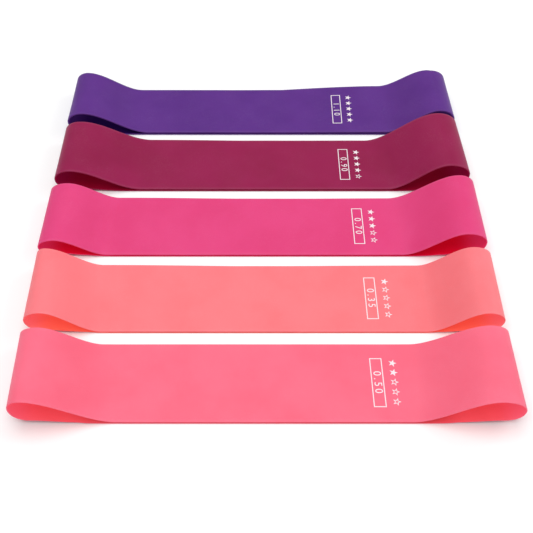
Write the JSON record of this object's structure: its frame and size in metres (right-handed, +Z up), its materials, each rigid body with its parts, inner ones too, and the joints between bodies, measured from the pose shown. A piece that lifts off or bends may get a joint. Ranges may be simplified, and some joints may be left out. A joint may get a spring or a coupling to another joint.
{
  "type": "resistance loop band set",
  "caption": "Set of flat latex loop bands for leg and hip exercise, laid side by side as two layers with soft teardrop ends, each a different thickness and colour.",
  "frame": {"origin": "on the surface that the set lies on, under the middle of its box", "axes": "+X to the right, along the bands, towards the ends that are pulled; +Y to the back, across the bands, from the light band to the extra heavy one; +Z up"},
  "size_m": [0.2862, 0.286, 0.026],
  "materials": {
    "x_heavy_latex": "satin, lightly powdered latex, slightly see-through at its edges",
    "heavy_latex": "satin, lightly powdered latex, slightly see-through at its edges",
    "medium_latex": "satin, lightly powdered latex, slightly see-through at its edges",
    "x_light_latex": "satin, lightly powdered latex, slightly see-through at its edges",
    "light_latex": "satin, lightly powdered latex, slightly see-through at its edges",
    "print_ink": "thin matte white print"
  },
  "bodies": {
    "x_heavy_loop": {"x_heavy_left_end_loop": "x_heavy_latex", "x_heavy_lower_run": "x_heavy_latex", "x_heavy_upper_run": "x_heavy_latex"},
    "x_heavy_right_end": {"x_heavy_right_end_loop": "x_heavy_latex"},
    "heavy_loop": {"heavy_left_end_loop": "heavy_latex", "heavy_lower_run": "heavy_latex", "heavy_upper_run": "heavy_latex"},
    "heavy_right_end": {"heavy_right_end_loop": "heavy_latex"},
    "medium_loop": {"medium_left_end_loop": "medium_latex", "medium_lower_run": "medium_latex", "medium_upper_run": "medium_latex"},
    "medium_right_end": {"medium_right_end_loop": "medium_latex"},
    "x_light_loop": {"x_light_left_end_loop": "x_light_latex", "x_light_lower_run": "x_light_latex", "x_light_upper_run": "x_light_latex"},
    "x_light_right_end": {"x_light_right_end_loop": "x_light_latex"},
    "light_loop": {"light_left_end_loop": "light_latex", "light_lower_run": "light_latex", "light_upper_run": "light_latex"},
    "light_right_end": {"light_right_end_loop": "light_latex"}
  },
  "joints": [
    {"name": "x_heavy_lift", "type": "slide", "parent": "light_loop", "child": "x_heavy_loop", "axis": [0, 0, 1], "range_m": [0, 0.15]},
    {"name": "heavy_lift", "type": "slide", "parent": "light_loop", "child": "heavy_loop", "axis": [0, 0, 1], "range_m": [0, 0.15]},
    {"name": "medium_lift", "type": "slide", "parent": "light_loop", "child": "medium_loop", "axis": [0, 0, 1], "range_m": [0, 0.15]},
    {"name": "x_light_lift", "type": "slide", "parent": "light_loop", "child": "x_light_loop", "axis": [0, 0, 1], "range_m": [0, 0.15]},
    {"name": "x_heavy_stretch", "type": "slide", "parent": "x_heavy_loop", "child": "x_heavy_right_end", "axis": [1, 0, 0], "range_m": [0, 0.45], "stiffness_N_per_m": 330, "deforming": ["x_heavy_lower_run", "x_heavy_upper_run"]},
    {"name": "heavy_stretch", "type": "slide", "parent": "heavy_loop", "child": "heavy_right_end", "axis": [1, 0, 0], "range_m": [0, 0.45], "stiffness_N_per_m": 270, "deforming": ["heavy_lower_run", "heavy_upper_run"]},
    {"name": "medium_stretch", "type": "slide", "parent": "medium_loop", "child": "medium_right_end", "axis": [1, 0, 0], "range_m": [0, 0.45], "stiffness_N_per_m": 210, "deforming": ["medium_lower_run", "medium_upper_run"]},
    {"name": "x_light_stretch", "type": "slide", "parent": "x_light_loop", "child": "x_light_right_end", "axis": [1, 0, 0], "range_m": [0, 0.45], "stiffness_N_per_m": 105, "deforming": ["x_light_lower_run", "x_light_upper_run"]},
    {"name": "light_stretch", "type": "slide", "parent": "light_loop", "child": "light_right_end", "axis": [1, 0, 0], "range_m": [0, 0.45], "stiffness_N_per_m": 150, "deforming": ["light_lower_run", "light_upper_run"]}
  ]
}
